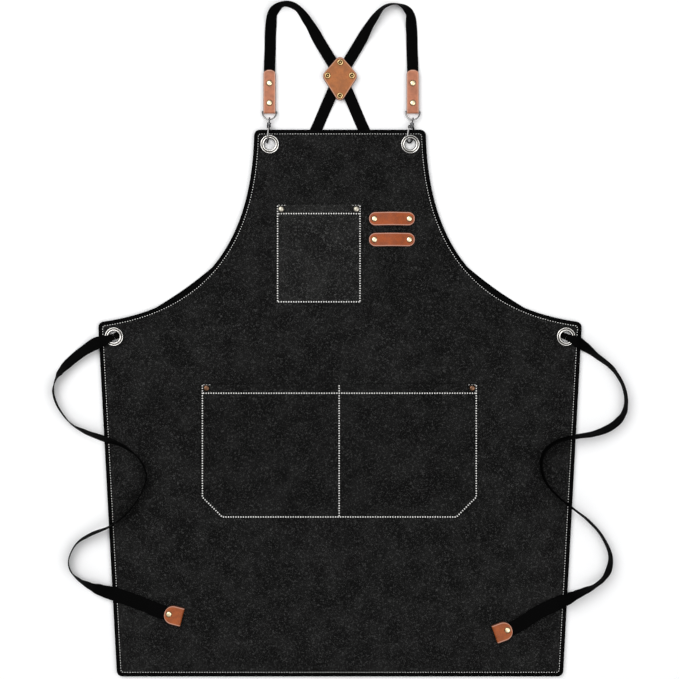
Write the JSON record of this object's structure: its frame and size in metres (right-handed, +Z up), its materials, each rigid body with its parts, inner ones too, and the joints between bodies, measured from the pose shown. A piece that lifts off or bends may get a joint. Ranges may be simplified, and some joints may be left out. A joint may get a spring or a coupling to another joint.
{
  "type": "artist smock apron",
  "caption": "Bib apron of dark canvas laid flat, with crossed webbing straps on snap hooks, eyelets, pockets, pen loops and waist ties with leather tips.",
  "frame": {"origin": "middle of the flat-laid apron's footprint without its waist ties, on the surface that it lies on", "axes": "+Z up out of the apron's front, +Y towards the top of the bib and the straps, +X towards the pen loops"},
  "size_m": [0.8038, 0.9459, 0.0266],
  "materials": {
    "canvas": "charcoal cotton canvas with a fine heathered weave",
    "binding": "black folded edge tape with a row of off-white stitching",
    "webbing": "black woven webbing with a low sheen",
    "leather": "smooth tan leather with lighter cut edges",
    "nickel": "polished nickel plate",
    "hook_metal": "polished darker nickel",
    "brass_rivets": "antique brass with rubbed domes",
    "copper_rivets": "copper-brown with rubbed domes"
  },
  "bodies": {
    "apron": {"apron_body": "canvas", "edge_binding": "binding", "bib_eyelet_left": "nickel", "bib_washer_left": "nickel", "bib_eyelet_right": "nickel", "bib_washer_right": "nickel", "waist_eyelet_left": "nickel", "waist_washer_left": "nickel", "waist_eyelet_right": "nickel", "waist_washer_right": "nickel", "chest_pocket_panel": "canvas", "chest_rivet_left": "brass_rivets", "chest_rivet_right": "brass_rivets", "waist_pocket_panel": "canvas", "waist_rivet_left": "copper_rivets", "waist_rivet_right": "copper_rivets", "upper_pen_loop": "leather", "upper_loop_rivet_left": "brass_rivets", "upper_loop_rivet_right": "brass_rivets", "lower_pen_loop": "leather", "lower_loop_rivet_left": "brass_rivets", "lower_loop_rivet_right": "brass_rivets", "cross_patch_front": "leather", "cross_patch_back": "leather", "patch_rivet_1": "brass_rivets", "patch_rivet_2": "brass_rivets", "patch_rivet_3": "brass_rivets", "patch_rivet_4": "brass_rivets", "left_leather_tab": "leather", "left_tab_rivet_1": "brass_rivets", "left_tab_rivet_2": "brass_rivets", "right_leather_tab": "leather", "right_tab_rivet_1": "brass_rivets", "right_tab_rivet_2": "brass_rivets", "left_shoulder_strap": "webbing", "right_shoulder_strap": "webbing", "left_tie": "webbing", "left_tie_tip": "leather", "left_tie_rivet": "brass_rivets", "right_tie": "webbing", "right_tie_tip": "leather", "right_tie_rivet": "brass_rivets"},
    "left_ring": {"left_d_ring": "nickel"},
    "left_eye": {"left_swivel_eye": "hook_metal"},
    "left_hook": {"left_snap_hook": "hook_metal", "left_gate_pin": "hook_metal", "left_gate_spring": "hook_metal"},
    "left_gate": {"left_hook_gate": "hook_metal"},
    "right_ring": {"right_d_ring": "nickel"},
    "right_eye": {"right_swivel_eye": "hook_metal"},
    "right_hook": {"right_snap_hook": "hook_metal", "right_gate_pin": "hook_metal", "right_gate_spring": "hook_metal"},
    "right_gate": {"right_hook_gate": "hook_metal"}
  },
  "joints": [
    {"name": "left_ring_tilt", "type": "hinge", "parent": "apron", "child": "left_ring", "pos_m": [-0.0988, 0.31915, 0.00385], "axis": [1, 0, 0], "range_deg": [-2, 8]},
    {"name": "left_hook_rock", "type": "hinge", "parent": "left_ring", "child": "left_eye", "pos_m": [-0.0988, 0.30724, 0.00795], "axis": [1, 0, 0], "range_deg": [-11, 3]},
    {"name": "left_hook_swivel", "type": "hinge", "parent": "left_eye", "child": "left_hook", "pos_m": [-0.0988, 0.30724, 0.00795], "axis": [0.0872, 0.9962, 0], "range_deg": [-12, 8]},
    {"name": "left_gate_hinge", "type": "hinge", "parent": "left_hook", "child": "left_gate", "pos_m": [-0.09978, 0.29598, 0.01255], "axis": [0.9962, -0.0872, 0], "range_deg": [0, 12], "stiffness_Nm_per_rad": 0.004, "springref_deg": -11.46},
    {"name": "right_ring_tilt", "type": "hinge", "parent": "apron", "child": "right_ring", "pos_m": [0.1019, 0.31915, 0.00385], "axis": [1, 0, 0], "range_deg": [-2, 8]},
    {"name": "right_hook_rock", "type": "hinge", "parent": "right_ring", "child": "right_eye", "pos_m": [0.1019, 0.30689, 0.00675], "axis": [1, 0, 0], "range_deg": [-11, 3]},
    {"name": "right_hook_swivel", "type": "hinge", "parent": "right_eye", "child": "right_hook", "pos_m": [0.1019, 0.30689, 0.00675], "axis": [0.1736, 0.9848, 0], "range_deg": [0, 25]},
    {"name": "right_gate_hinge", "type": "hinge", "parent": "right_hook", "child": "right_gate", "pos_m": [0.09734, 0.29622, 0.01052], "axis": [0.8067, -0.1422, 0.5736], "range_deg": [0, 12], "stiffness_Nm_per_rad": 0.004, "springref_deg": -11.46}
  ],
  "couplings": [
    {"joint": "left_hook_rock", "follows": "left_ring_tilt", "ratio": -1.37},
    {"joint": "right_hook_rock", "follows": "right_ring_tilt", "ratio": -1.37}
  ]
}
